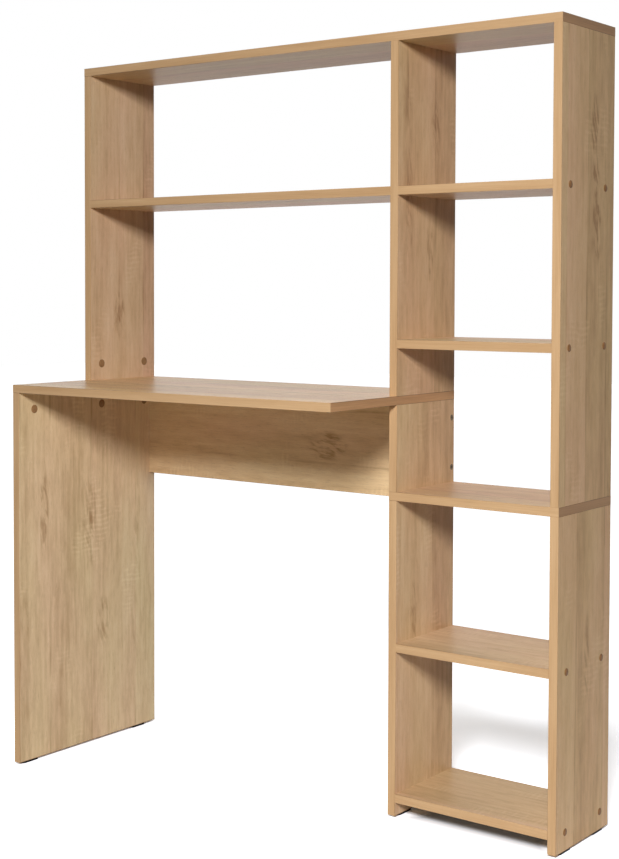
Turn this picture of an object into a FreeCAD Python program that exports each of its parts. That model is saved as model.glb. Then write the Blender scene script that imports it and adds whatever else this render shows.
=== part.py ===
import FreeCAD, Part
import os
import re
import Sketcher
from FreeCAD import Rotation, Vector

# Student desk with a hutch above it and a narrow shelf tower at its right end, in edged board.
# +Z is up, the user sits on the -Y side, and the origin is on the floor under the desk's middle.

# ---------------------------------------------------------------- driving sizes, in millimetres
SIZES = {
    # boards
    "board": 16,  # thickness of every board
    "edging": 1,  # thickness of the strips on the boards' edges
    "hutch_bay": 738,  # clear width between the left upright and the hutch divider
    "tower_bay": 302,  # clear width between the tower's two sides
    "desk_depth": 402,
    "tower_depth": 198,  # also the depth of the hutch
    "shelf_gap": 256,  # clear height above each tower shelf
    "toe_gap": 24,  # from the glides to the underside of the base shelf
    "divider_gap": 155,  # clear height between the tower deck and the desktop
    "modesty_drop": 193,  # height of the modesty panel
    # places of the fittings
    "screw_inset": 33,  # screws and cams, from the front and the rear of the tower
    "shelf_bolt_inset": 69,  # bolts of the hutch shelf, between the screws of the tower shelf
    "leg_bolt_inset": 43,  # the leg's front bolt, from the desk's front
    "modesty_screw_drop": 34,  # upper screw of the modesty panel, below the desktop
    "modesty_screw_lift": 28,  # lower screw of the modesty panel, above the tower deck
    # one-piece connector screws and their caps
    "screw_length": 50,
    "screw_head": 10,
    "screw_head_length": 3,
    "screw_neck": 7,
    "screw_core": 5,
    "cap_width": 13,
    "cap_rise": 1.6,
    "cap_bevel": 1.2,
    # cam locks, their covers and bolts
    "cam_width": 15,
    "cam_skin": 3,  # board left under a cam's hole
    "cam_reach": 34,  # from the joint to the cam's axis
    "cam_chamber": 9.8,  # width of the hollow for the bolt's head
    "cam_throw": 1.6,  # how far the chamber lies off the cam's axis
    "cam_cover": 17,  # width of the cap over a cam
    "cover_rise": 0.8,
    "cover_bevel": 0.4,
    "bolt_width": 7.6,
    "bolt_neck": 4,
    "bolt_head": 6.8,
    "bolt_head_length": 3,
    "bolt_channel": 8,
    "bolt_thread": 5,
    "bolt_bite": 11,  # depth of the bolt's thread in a board's face
    # dowels
    "dowel_width": 8,
    "dowel_length": 30,
    "dowel_skin": 5,  # board left under a dowel's hole
    # glides
    "glide_height": 4,
    "glide_length": 42,
    "glide_width": 14,
    "glide_corner": 3,
    "glide_peg": 8,
    "glide_peg_length": 12,
    "tower_glide_inset": 38,  # middle of a glide from the tower's front and rear
    "leg_glide_front_inset": 32,
    "leg_glide_rear_inset": 50,
    # room around fittings
    "clearance": 0.1,  # on each side of a fitting
    "end_room": 0.5,  # beyond the end of a fitting in its hole
}

# ---------------------------------------------------------------- places worked out from the sizes
# Each is a formula over the sizes above, written as text, so that the document keeps it.
WIDTH = "(hutch_bay + tower_bay + 3 * board)"
LEFT = f"(-{WIDTH} / 2)"
RIGHT = f"({WIDTH} / 2)"
LEFT_INNER = f"({LEFT} + board)"
DIVIDER_LEFT = f"({LEFT_INNER} + hutch_bay)"
DIVIDER_RIGHT = f"({DIVIDER_LEFT} + board)"
RIGHT_INNER = f"({RIGHT} - board)"
LEFT_MIDDLE = f"({LEFT} + board / 2)"
DIVIDER_MIDDLE = f"({DIVIDER_LEFT} + board / 2)"
RIGHT_MIDDLE = f"({RIGHT} - board / 2)"

REAR = "(desk_depth / 2)"
DESK_FRONT = "(-desk_depth / 2)"
TOWER_FRONT = f"({REAR} - tower_depth)"
TOWER_MIDDLE = f"({REAR} - tower_depth / 2)"
REAR_ROW = f"({REAR} - screw_inset)"
FRONT_ROW = f"({TOWER_FRONT} + screw_inset)"
ROWS = (REAR_ROW, FRONT_ROW)
SHELF_BOLT_ROWS = (f"({REAR} - shelf_bolt_inset)", f"({TOWER_FRONT} + shelf_bolt_inset)")
LEG_ROW = f"({DESK_FRONT} + leg_bolt_inset)"
UPPER_DOWEL_ROW = f"((3 * {REAR_ROW} + {FRONT_ROW}) / 4)"
LOWER_DOWEL_ROW = f"(({REAR_ROW} + 3 * {FRONT_ROW}) / 4)"
LEG_DOWEL_ROW = f"(({FRONT_ROW} + {LEG_ROW}) / 2)"
MODESTY_MIDDLE = f"({REAR} - board / 2)"

FOOT = "glide_height"
BASE_UNDER = f"({FOOT} + toe_gap)"
LOWER_UNDER = f"({BASE_UNDER} + board + shelf_gap)"
DECK_UNDER = f"({LOWER_UNDER} + board + shelf_gap)"
DECK_TOP = f"({DECK_UNDER} + board)"
MIDDLE_UNDER = f"({DECK_TOP} + shelf_gap)"
UPPER_UNDER = f"({MIDDLE_UNDER} + board + shelf_gap)"
TOP_UNDER = f"({UPPER_UNDER} + board + shelf_gap)"
TOP = f"({TOP_UNDER} + board)"
DESK_UNDER = f"({DECK_TOP} + divider_gap)"
DESK_TOP = f"({DESK_UNDER} + board)"
MODESTY_SCREW_LEVELS = (f"({DESK_UNDER} - modesty_screw_drop)", f"({DECK_TOP} + modesty_screw_lift)")

TOWER_GLIDE_ROWS = (f"({TOWER_FRONT} + tower_glide_inset)", f"({REAR} - tower_glide_inset)")
LEG_GLIDE_ROWS = (f"({DESK_FRONT} + leg_glide_front_inset)", f"({REAR} - leg_glide_rear_inset)")

PILOT_DEPTH = "(screw_length - board + end_room)"
CAM_HOLE_DEPTH = "(board - cam_skin)"
DOWEL_BITE = "(board - dowel_skin - end_room)"

# Along a bolt, from the joint.
SHAFT_END = "(cam_reach - cam_width / 2 - end_room)"  # just outside the cam
HEAD_START = "(cam_reach - bolt_head_length / 2)"
HEAD_END = "(cam_reach + bolt_head_length / 2)"

# Round a cam's axis, in degrees from its bolt.
CAM_SLOT_START = -40
CAM_MOUTH_START = 80
CAM_SLOT_END = 150

# ---------------------------------------------------------------- directions
X_AXIS = Vector(1, 0, 0)
Y_AXIS = Vector(0, 1, 0)
Z_AXIS = Vector(0, 0, 1)
NORMALS = {"up": Z_AXIS, "down": -Z_AXIS, "left": -X_AXIS, "right": X_AXIS}
# How a fitting that points up turns to point each way, so that its corners match those of its hole.
TURNS = {
    "up": Rotation(),
    "down": Rotation(X_AXIS, 180),
    "left": Rotation(Y_AXIS, -90),
    "right": Rotation(Y_AXIS, 90),
}

# ---------------------------------------------------------------- small round forms
# The many small fittings and their holes have flat sides, which keeps the model light. Their widths are
# across the corners. A fitting and its hole have as many sides, turned the same way, so that the room
# between them is even.
SHAFT_SIDES = 6
LOCK_SIDES = 12
CAP_SIDES = 10

doc = FreeCAD.newDocument("StudentDesk")
sheet = doc.addObject("Spreadsheet::Sheet", "Sizes")
pieces = {}  # every sub-part that is written, by name


def fill_sheet():
    """Give each driving size a row of the sheet: its name, and its value under that name as alias."""
    for row, (name, value) in enumerate(SIZES.items(), start=1):
        sheet.set(f"A{row}", name)
        sheet.set(f"B{row}", str(value))
        sheet.setAlias(f"B{row}", name)
    doc.recompute()


def formula(text):
    """The formula with each size's name turned into a reference to its cell."""
    return re.sub(r"[a-z_]+", lambda word: cell(word.group()), text)


def cell(word):
    return f"Sizes.{word}" if word in SIZES else word


def bind(thing, **values):
    """Tie properties to formulas. Two underscores in a name stand for a dot."""
    for name, text in values.items():
        thing.setExpression(name.replace("__", "."), formula(text))


def place(thing, x, y, z, rotation=Rotation()):
    thing.Placement = FreeCAD.Placement(Vector(), rotation)
    bind(thing, Placement__Base__x=x, Placement__Base__y=y, Placement__Base__z=z)


def add_group(name, members):
    """A sub-part made of several separate solids."""
    group = doc.addObject("Part::Compound", name)
    group.Label = name
    group.Links = members
    pieces[name] = group
    return group


def facing(side, toward):
    """The rotation that turns a fitting's Z axis to one side of the desk and its X axis toward another."""
    normal, along = NORMALS[side], NORMALS[toward]
    return Rotation(along, normal.cross(along), normal, "ZXY")


# ---------------------------------------------------------------- sketches and features
def new_sketch(body, name, plane, offset="0"):
    """An empty sketch on one of the body's own origin planes, moved off it by offset."""
    sketch = body.newObject("Sketcher::SketchObject", f"{body.Name}_{name}")
    role = next(item for item in body.Origin.OriginFeatures if item.Role == plane)
    sketch.AttachmentSupport = [(role, "")]
    sketch.MapMode = "FlatFace"
    bind(sketch, AttachmentOffset__Base__z=offset)
    return sketch


def constrain(sketch, kind, *where, value):
    """Add a dimension to the sketch and tie it to a formula."""
    index = sketch.addConstraint(Sketcher.Constraint(kind, *where, 1.0))
    sketch.setExpression(f"Constraints[{index}]", formula(value))


def add_rectangle(sketch, length, width):
    """A rectangle from the sketch's origin towards its +X and +Y."""
    corners = [Vector(0, 0, 0), Vector(1, 0, 0), Vector(1, 1, 0), Vector(0, 1, 0)]
    for start, end in zip(corners, corners[1:] + corners[:1]):
        sketch.addGeometry(Part.LineSegment(start, end))
    for side in range(4):
        sketch.addConstraint(Sketcher.Constraint("Coincident", side, 2, (side + 1) % 4, 1))
        sketch.addConstraint(Sketcher.Constraint("Vertical" if side % 2 else "Horizontal", side))
    sketch.addConstraint(Sketcher.Constraint("Coincident", 0, 1, -1, 1))
    constrain(sketch, "DistanceX", 0, 1, 0, 2, value=length)
    constrain(sketch, "DistanceY", 1, 1, 1, 2, value=width)


def add_outline(sketch, points):
    """A closed outline of straight sides. Each corner is a pair of formulas in the sketch's plane."""
    count = len(points)
    places = [Vector(*(evaluate(value) for value in point), 0) for point in points]
    for index in range(count):
        sketch.addGeometry(Part.LineSegment(places[index], places[(index + 1) % count]))
    for index, (point, spot) in enumerate(zip(points, places)):
        sketch.addConstraint(Sketcher.Constraint("Coincident", index, 2, (index + 1) % count, 1))
        for kind, axis, value, number in zip(("DistanceX", "DistanceY"), (-2, -1), point, spot):
            if value == "0":
                sketch.addConstraint(Sketcher.Constraint("PointOnObject", index, 1, axis))
            elif number < 0:
                constrain(sketch, kind, index, 1, -1, 1, value=f"-({value})")
            else:
                constrain(sketch, kind, -1, 1, index, 1, value=value)


def evaluate(text):
    """The number that a formula gives with the sizes as they stand."""
    return float(sheet.evalExpression(formula(text)))


def remove(body, feature, **settings):
    """Finish a feature that removes material, and make sure that it removed some."""
    before = body.Shape.Volume
    for name, value in settings.items():
        setattr(feature, name, value)
    doc.recompute()
    if not body.Shape.Volume < before:
        raise RuntimeError(f"{feature.Label} removes nothing")


def pad(body, sketch, length, **settings):
    feature = body.newObject("PartDesign::Pad", f"{sketch.Name}_pad")
    feature.Profile = sketch
    bind(feature, Length=length)
    for name, value in settings.items():
        setattr(feature, name, value)
    return feature


def pocket(body, sketch, depth, **settings):
    doc.recompute()
    feature = body.newObject("PartDesign::Pocket", f"{sketch.Name}_pocket")
    feature.Profile = sketch
    bind(feature, Length=depth)
    remove(body, feature, **settings)


def add_prism(body, start, end, width, sides=SHAFT_SIDES):
    """A bar of even section along the body's Z axis, from one height to another."""
    feature = body.newObject("PartDesign::AdditivePrism", f"{body.Name}_bar")
    feature.Polygon = sides
    bind(feature, Circumradius=f"({width}) / 2", Height=f"({end} - {start})")
    place(feature, "0", "0", start)
    doc.recompute()
    return feature


def cut_prism(body, point, rotation, width, depth, sides=SHAFT_SIDES):
    """A straight hole of even section, from a point of the body's own axes along the rotation's Z axis."""
    feature = body.newObject("PartDesign::SubtractivePrism", f"{body.Name}_hole")
    feature.Polygon = sides
    bind(feature, Circumradius=f"({width}) / 2", Height=depth)
    place(feature, *point, rotation)
    remove(body, feature)


# ---------------------------------------------------------------- boards
class Board:
    """A board whose length runs along its own X, its width along Y and its thickness along Z.

    place_at is where its own origin corner lies in the desk. A shelf lies flat. An upright stands with its
    length up and its own bottom face to the right. A rail stands on its long edge with its bottom face to
    the rear. A strip of edging covers each edge that shows.
    """

    ROTATIONS = {
        "shelf": Rotation(),
        "upright": Rotation(Y_AXIS, -90),
        "rail": Rotation(X_AXIS, 90),
    }

    def __init__(self, name, kind, place_at, length, width, start=False, finish=False):
        self.name = name
        self.kind = kind
        self.place_at = place_at
        self.length = length
        self.width = width
        self.body = doc.addObject("PartDesign::Body", name)
        self.body.Label = name
        start_edging = "edging" if start else "0"
        finish_edging = "edging" if finish else "0"
        rear_edging = "0" if kind == "rail" else "edging"
        sketch = new_sketch(self.body, "outline", "XY_Plane")
        bind(sketch, AttachmentOffset__Base__x=start_edging, AttachmentOffset__Base__y="edging")
        core_length = f"({length} - {start_edging} - {finish_edging})"
        core_width = f"({width} - edging - {rear_edging})"
        add_rectangle(sketch, core_length, core_width)
        pad(self.body, sketch, "board")
        doc.recompute()
        place(self.body, *place_at, self.ROTATIONS[kind])
        pieces[name] = self.body
        self.add_edging(start_edging, finish_edging, rear_edging, core_width)

    def add_edging(self, start_edging, finish_edging, rear_edging, core_width):
        """The strips on the long edges run the board's whole length, and those on its ends fit between them."""
        strips = [("front", "0", "0", self.length, "edging")]
        if rear_edging != "0":
            strips.append(("rear", "0", f"({self.width} - edging)", self.length, "edging"))
        if start_edging != "0":
            strips.append(("start", "0", "edging", "edging", core_width))
        if finish_edging != "0":
            strips.append(("finish", f"({self.length} - edging)", "edging", "edging", core_width))
        self.strips = {}
        for side, x, y, length, width in strips:
            strip = doc.addObject("Part::Box", f"{self.name}_{side}_strip")
            bind(strip, Length=length, Width=width, Height="board")
            place(strip, x, y, "0")
            self.strips[side] = strip
        self.group = add_group(f"{self.name}_edging", list(self.strips.values()))
        place(self.group, *self.place_at, self.ROTATIONS[self.kind])

    def drill_start_strip(self, points, width):
        """Holes through the strip on the board's start."""
        drills = []
        for point in points:
            _, y, z = self.own(point)
            drill = doc.addObject("Part::Prism", f"{self.name}_strip_drill")
            drill.Polygon = SHAFT_SIDES
            bind(drill, Circumradius=f"({width}) / 2", Height="edging")
            place(drill, "0", y, z, Rotation(Y_AXIS, 90))
            drills.append(drill)
        tool = doc.addObject("Part::Compound", f"{self.name}_strip_drills")
        tool.Links = drills
        cut = doc.addObject("Part::Cut", f"{self.name}_drilled_strip")
        cut.Base = self.strips["start"]
        cut.Tool = tool
        self.strips["start"] = cut
        self.group.Links = list(self.strips.values())

    def own(self, point):
        """A point of the desk in the board's own axes."""
        x, y, z = (f"({value} - {corner})" for value, corner in zip(point, self.place_at))
        if self.kind == "upright":
            return z, y, f"(-{x})"
        if self.kind == "rail":
            return x, z, f"(-{y})"
        return x, y, z

    def on_face(self, point, side):
        """The point moved square onto one of the board's two faces."""
        x, y, z = point
        if self.kind == "upright":
            right_face = self.place_at[0]
            return right_face if side == "right" else f"({right_face} - board)", y, z
        bottom_face = self.place_at[2]
        return x, y, bottom_face if side == "down" else f"({bottom_face} + board)"

    def drill_face(self, points, width, depth, face, sides=SHAFT_SIDES):
        """Holes into the bottom or the top face."""
        level, rotation = ("board", Rotation(X_AXIS, 180)) if face == "top" else ("0", Rotation())
        for point in points:
            x, y, _ = self.own(point)
            cut_prism(self.body, (x, y, level), rotation, width, depth, sides)

    def drill_end(self, points, width, depth, end):
        """Holes along the board's length, into its start or its finish."""
        x, angle = (self.length, -90) if end == "finish" else ("0", 90)
        spin = Rotation(Z_AXIS, 90) if self.kind == "rail" else Rotation()
        for point in points:
            _, y, z = self.own(point)
            cut_prism(self.body, (x, y, z), Rotation(Y_AXIS, angle) * spin, width, depth)

    def drill_for_heads(self, points, face):
        """Holes right through for the necks of screws, wider in the given face for their heads."""
        self.drill_face(points, "screw_neck + 2 * clearance", "board", face)
        self.drill_face(points, "screw_head + 2 * clearance", "screw_head_length", face)


# The face of a board that looks the way given, for each kind of board.
FACES = {
    ("shelf", "up"): "top",
    ("shelf", "down"): "bottom",
    ("upright", "left"): "top",
    ("upright", "right"): "bottom",
}
OPPOSITE = {"up": "down", "down": "up", "left": "right", "right": "left"}


def shelf(name, left, right, under, deep=False, edged_ends=False):
    front, depth = (DESK_FRONT, "desk_depth") if deep else (TOWER_FRONT, "tower_depth")
    return Board(name, "shelf", (left, front, under), f"({right} - {left})", depth, edged_ends, edged_ends)


def upright(name, right, bottom, top, deep=False, on_glides=False):
    front, depth = (DESK_FRONT, "desk_depth") if deep else (TOWER_FRONT, "tower_depth")
    return Board(name, "upright", (right, front, bottom), f"({top} - {bottom})", depth, start=on_glides)


def make_boards():
    """All the boards, from the top down. The rear edges all lie in one plane."""
    modesty_corner = (LEFT_INNER, REAR, f"({DESK_UNDER} - modesty_drop)")
    boards = [
        shelf("top_panel", LEFT, RIGHT, TOP_UNDER, edged_ends=True),
        upright("left_upright", LEFT_INNER, DESK_TOP, TOP_UNDER),
        upright("hutch_divider", DIVIDER_RIGHT, DESK_TOP, TOP_UNDER),
        upright("tower_right_upper", RIGHT, DECK_TOP, TOP_UNDER),
        shelf("hutch_shelf", LEFT_INNER, DIVIDER_LEFT, UPPER_UNDER),
        shelf("tower_upper_shelf", DIVIDER_RIGHT, RIGHT_INNER, UPPER_UNDER),
        shelf("tower_middle_shelf", DIVIDER_RIGHT, RIGHT_INNER, MIDDLE_UNDER),
        shelf("desktop", LEFT, DIVIDER_RIGHT, DESK_UNDER, deep=True, edged_ends=True),
        upright("left_leg", LEFT_INNER, FOOT, DESK_UNDER, deep=True, on_glides=True),
        Board("modesty_panel", "rail", modesty_corner, "hutch_bay", "modesty_drop"),
        upright("desk_divider", DIVIDER_RIGHT, DECK_TOP, DESK_UNDER),
        shelf("tower_deck", DIVIDER_LEFT, RIGHT, DECK_UNDER, edged_ends=True),
        upright("tower_left_lower", DIVIDER_RIGHT, FOOT, DECK_UNDER, on_glides=True),
        upright("tower_right_lower", RIGHT, FOOT, DECK_UNDER, on_glides=True),
        shelf("tower_lower_shelf", DIVIDER_RIGHT, RIGHT_INNER, LOWER_UNDER),
        shelf("tower_base_shelf", DIVIDER_RIGHT, RIGHT_INNER, BASE_UNDER),
    ]
    return {board.name: board for board in boards}


# ---------------------------------------------------------------- fittings, each made once
def make_screw():
    """A one-piece connector. Its head and neck lie in the outer board below z = 0, its core in the next one."""
    body = doc.addObject("PartDesign::Body", "screw")
    add_prism(body, "(-screw_head_length)", "0", "screw_head")
    add_prism(body, "(-board)", "(-screw_head_length)", "screw_neck")
    add_prism(body, "(-screw_length)", "(-board)", "screw_core - 2 * clearance")
    return body


def make_disc(name, width, rise, bevel):
    """A bevelled disc on a board's face at z = 0: the cap of a screw or of a cam."""
    body = doc.addObject("PartDesign::Body", name)
    disc = add_prism(body, "0", rise, width, CAP_SIDES)
    rim = body.newObject("PartDesign::Chamfer", f"{name}_rim")
    rim.Base = (disc, [highest_face(disc.Shape)])
    bind(rim, Size=bevel)
    doc.recompute()
    return body


def highest_face(shape):
    """The name of the face that lies highest, whose edges a chamfer then follows."""
    heights = [face.CenterOfMass.z for face in shape.Faces]
    return f"Face{heights.index(max(heights)) + 1}"


def make_cam():
    """An eccentric lock: a short cylinder with a chamber for the bolt's head, off its axis by the throw.

    A slot round its side lets the bolt's neck pass while the cam turns, and ends in a mouth for the head.
    The wall beside the slot pulls on the head. The cam's face is at z = 0, its chamber lies at the board's
    mid-plane, and the bolt comes from +X.
    """
    body = doc.addObject("PartDesign::Body", "cam")
    add_prism(body, f"(end_room - {CAM_HOLE_DEPTH})", "0", "cam_width", LOCK_SIDES)
    head_room = "(bolt_head + 2 * end_room)"
    neck_room = "(bolt_neck + 2 * end_room)"
    chamber_floor = f"(-(board + {head_room}) / 2)"
    cut_prism(body, ("-cam_throw", "0", chamber_floor), Rotation(), "cam_chamber", head_room)
    cut_wedge(body, "slot", CAM_SLOT_START, CAM_SLOT_END, neck_room)
    cut_wedge(body, "mouth", CAM_MOUTH_START, CAM_SLOT_END, head_room)
    return body


def cut_wedge(body, name, start, end, height):
    """An opening round the cam's side between two angles, about the board's mid-plane."""
    sketch = new_sketch(body, name, "XY_Plane", "-board / 2")
    add_outline(sketch, wedge(start, end, "cam_width"))
    pocket(body, sketch, height, Midplane=True)


def wedge(start, end, reach):
    """The corners of a wedge from the origin, past the reach, between two angles in degrees."""
    angles = (start, (start + end) / 2, end)
    return [("0", "0")] + [(f"{reach} * cos({angle}deg)", f"{reach} * sin({angle}deg)") for angle in angles]


def make_double_bolt():
    """A plain shaft with a head at each end, about the mid-plane of the board that it passes through."""
    body = doc.addObject("PartDesign::Body", "double_bolt")
    shaft_end, head_start, head_end = (f"(board / 2 + {reach})" for reach in (SHAFT_END, HEAD_START, HEAD_END))
    add_prism(body, f"(-{shaft_end})", shaft_end, "bolt_width")
    add_prism(body, shaft_end, head_start, "bolt_neck")
    add_prism(body, head_start, head_end, "bolt_head")
    add_prism(body, f"(-{head_start})", f"(-{shaft_end})", "bolt_neck")
    add_prism(body, f"(-{head_end})", f"(-{head_start})", "bolt_head")
    return body


def make_single_bolt():
    """A bolt whose thread is in a board's face at z = 0, with its head up in a cam of the next board."""
    body = doc.addObject("PartDesign::Body", "single_bolt")
    add_prism(body, "(-bolt_bite)", "0", "bolt_thread - 2 * clearance")
    add_prism(body, "0", SHAFT_END, "bolt_width")
    add_prism(body, SHAFT_END, HEAD_START, "bolt_neck")
    add_prism(body, HEAD_START, HEAD_END, "bolt_head")
    return body


def make_dowel():
    """A dowel in a board's face at z = 0, with its longer part up in the end of the next board."""
    body = doc.addObject("PartDesign::Body", "dowel")
    add_prism(body, f"(-{DOWEL_BITE})", f"(dowel_length - {DOWEL_BITE})", "dowel_width")
    return body


def make_glide():
    """A flat foot, long in Y, with its corners cut off and a peg. The board stands on it at z = 0."""
    body = doc.addObject("PartDesign::Body", "glide")
    foot = new_sketch(body, "foot", "XY_Plane")
    x, y = "(glide_width / 2)", "(glide_length / 2)"
    add_outline(foot, [(x, y), (f"-{x}", y), (f"-{x}", f"-{y}"), (x, f"-{y}")])
    foot_pad = pad(body, foot, "glide_height", Reversed=True)
    doc.recompute()
    corners = body.newObject("PartDesign::Chamfer", "glide_corners")
    corners.Base = (foot_pad, upright_edges(foot_pad.Shape))
    bind(corners, Size="glide_corner")
    doc.recompute()
    add_prism(body, "0", "glide_peg_length", "glide_peg")
    return body


def upright_edges(shape):
    """The names of the straight edges that run along Z."""
    return [
        f"Edge{number}"
        for number, edge in enumerate(shape.Edges, start=1)
        if abs(edge.tangentAt(edge.FirstParameter).dot(Z_AXIS)) > 0.99
    ]


# ---------------------------------------------------------------- joints between the boards
fitting_places = {}  # for each kind of fitting, where each of its copies lies and how it is turned


def add_fittings(kind, points, rotation):
    fitting_places.setdefault(kind, []).extend((point, rotation) for point in points)


def moved(point, way, distance):
    """The point moved left, right, up or down."""
    index, sign = {"left": (0, "-"), "right": (0, "+"), "down": (2, "-"), "up": (2, "+")}[way]
    place_now = list(point)
    place_now[index] = f"({point[index]} {sign} {distance})"
    return tuple(place_now)


def screw_joint(outer, inner, end, points, side, capped=True):
    """Screws through the outer board, with their heads on the given side of it, into an end of the inner."""
    outer.drill_for_heads(points, FACES[outer.kind, side])
    inner.drill_end(points, "screw_core", PILOT_DEPTH, end)
    heads = [outer.on_face(point, side) for point in points]
    add_fittings("confirmat_screws", heads, TURNS[side])
    if capped:
        add_fittings("screw_caps", heads, TURNS[side])


def cam_joint(board, end, joints, side, toward):
    """Locks in one face of a board, for bolts that come in at its end. Each joint lies on that end."""
    board.drill_end(joints, "bolt_channel", "cam_reach", end)
    centres = [board.on_face(moved(point, OPPOSITE[toward], "cam_reach"), side) for point in joints]
    width = "cam_width + 2 * clearance"
    board.drill_face(centres, width, CAM_HOLE_DEPTH, FACES[board.kind, side], LOCK_SIDES)
    add_fittings("cam_locks", centres, facing(side, toward))
    add_fittings("cam_caps", centres, facing(side, toward))


def double_bolts(board, points):
    """Bolts right through a flat board, with a head above it and one below."""
    board.drill_face(points, "bolt_channel", "board", "bottom")
    middles = [moved(board.on_face(point, "down"), "up", "board / 2") for point in points]
    add_fittings("double_bolts", middles, TURNS["up"])


def single_bolts(board, points, side):
    """Bolts screwed into one face of a board."""
    board.drill_face(points, "bolt_thread", "(bolt_bite + end_room)", FACES[board.kind, side])
    add_fittings("single_bolts", [board.on_face(point, side) for point in points], TURNS[side])


def dowel_joint(faced, side, ended, end, points):
    """Dowels between the face of one board and the end of another."""
    width = "dowel_width + 2 * clearance"
    faced.drill_face(points, width, f"({DOWEL_BITE} + end_room)", FACES[faced.kind, side])
    ended.drill_end(points, width, f"(dowel_length - {DOWEL_BITE} + end_room)", end)
    add_fittings("dowels", [faced.on_face(point, side) for point in points], TURNS[side])


def across(x, rows, z):
    """Points in a line from the front to the rear."""
    return [(x, y, z) for y in rows]


def join_top_panel(boards):
    for name, x in (
        ("left_upright", LEFT_MIDDLE),
        ("hutch_divider", DIVIDER_MIDDLE),
        ("tower_right_upper", RIGHT_MIDDLE),
    ):
        screw_joint(boards["top_panel"], boards[name], "finish", across(x, ROWS, TOP_UNDER), "up")


def join_tower_shelves(boards):
    """Each shelf has two screws at either end. The hutch shelf's end covers the upper one's left screws."""
    for name, under, left_side, right_side, covered in (
        ("tower_upper_shelf", UPPER_UNDER, "hutch_divider", "tower_right_upper", True),
        ("tower_middle_shelf", MIDDLE_UNDER, "hutch_divider", "tower_right_upper", False),
        ("tower_lower_shelf", LOWER_UNDER, "tower_left_lower", "tower_right_lower", False),
        ("tower_base_shelf", BASE_UNDER, "tower_left_lower", "tower_right_lower", False),
    ):
        level = f"({under} + board / 2)"
        left_points = across(DIVIDER_LEFT, ROWS, level)
        right_points = across(RIGHT, ROWS, level)
        screw_joint(boards[left_side], boards[name], "start", left_points, "left", capped=not covered)
        screw_joint(boards[right_side], boards[name], "finish", right_points, "right")


def join_hutch_shelf(boards):
    """Screws at the shelf's left end, and locks under its right end, clear of the tower shelf's screws."""
    level = f"({UPPER_UNDER} + board / 2)"
    hutch_shelf, divider = boards["hutch_shelf"], boards["hutch_divider"]
    screw_joint(boards["left_upright"], hutch_shelf, "start", across(LEFT, ROWS, level), "left")
    joints = across(DIVIDER_LEFT, SHELF_BOLT_ROWS, level)
    cam_joint(hutch_shelf, "finish", joints, "down", "right")
    single_bolts(divider, joints, "left")
    dowel_joint(divider, "left", hutch_shelf, "finish", across(DIVIDER_LEFT, (TOWER_MIDDLE,), level))


def join_modesty_panel(boards):
    panel = boards["modesty_panel"]
    left_points = [(LEFT, MODESTY_MIDDLE, z) for z in MODESTY_SCREW_LEVELS]
    right_points = [(DIVIDER_RIGHT, MODESTY_MIDDLE, z) for z in MODESTY_SCREW_LEVELS]
    screw_joint(boards["left_leg"], panel, "start", left_points, "left")
    screw_joint(boards["desk_divider"], panel, "finish", right_points, "right", capped=False)


def join_stacked_uprights(boards):
    """Double bolts go through a flat board between two uprights, into a lock above and one below."""
    for flat, under, above, below, x, side in (
        ("desktop", DESK_UNDER, "left_upright", "left_leg", LEFT_MIDDLE, "right"),
        ("desktop", DESK_UNDER, "hutch_divider", "desk_divider", DIVIDER_MIDDLE, "left"),
        ("tower_deck", DECK_UNDER, "desk_divider", "tower_left_lower", DIVIDER_MIDDLE, "left"),
        ("tower_deck", DECK_UNDER, "tower_right_upper", "tower_right_lower", RIGHT_MIDDLE, "left"),
    ):
        top = f"({under} + board)"
        double_bolts(boards[flat], across(x, ROWS, under))
        cam_joint(boards[above], "start", across(x, ROWS, top), side, "down")
        cam_joint(boards[below], "finish", across(x, ROWS, under), side, "up")
        dowel_joint(boards[flat], "up", boards[above], "start", across(x, (UPPER_DOWEL_ROW,), top))
        dowel_joint(boards[flat], "down", boards[below], "finish", across(x, (LOWER_DOWEL_ROW,), under))


def join_leg_front(boards):
    """The leg is deeper than the hutch, so it has a lock and a dowel of its own in front of it."""
    desktop, leg = boards["desktop"], boards["left_leg"]
    joint = across(LEFT_MIDDLE, (LEG_ROW,), DESK_UNDER)
    single_bolts(desktop, joint, "down")
    cam_joint(leg, "finish", joint, "right", "up")
    dowel_joint(desktop, "down", leg, "finish", across(LEFT_MIDDLE, (LEG_DOWEL_ROW,), DESK_UNDER))


def add_glides(boards):
    for name, x, rows in (
        ("left_leg", LEFT_MIDDLE, LEG_GLIDE_ROWS),
        ("tower_left_lower", DIVIDER_MIDDLE, TOWER_GLIDE_ROWS),
        ("tower_right_lower", RIGHT_MIDDLE, TOWER_GLIDE_ROWS),
    ):
        points = across(x, rows, FOOT)
        hole = "glide_peg + 2 * clearance"
        boards[name].drill_end(points, hole, "(glide_peg_length + end_room)", "start")
        boards[name].drill_start_strip(points, hole)
        add_fittings("glides", points, TURNS["up"])


def make_fittings():
    """A copy of each kind of fitting at each of its places, as one sub-part for each kind."""
    kinds = {
        "confirmat_screws": make_screw(),
        "screw_caps": make_disc("screw_cap", "cap_width", "cap_rise", "cap_bevel"),
        "cam_locks": make_cam(),
        "cam_caps": make_disc("cam_cap", "cam_cover", "cover_rise", "cover_bevel"),
        "double_bolts": make_double_bolt(),
        "single_bolts": make_single_bolt(),
        "dowels": make_dowel(),
        "glides": make_glide(),
    }
    for kind, pattern in kinds.items():
        copies = []
        for point, rotation in fitting_places[kind]:
            copy = doc.addObject("App::Link", f"{kind}_copy")
            copy.LinkedObject = pattern
            place(copy, *point, rotation)
            copies.append(copy)
        add_group(kind, copies)


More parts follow.
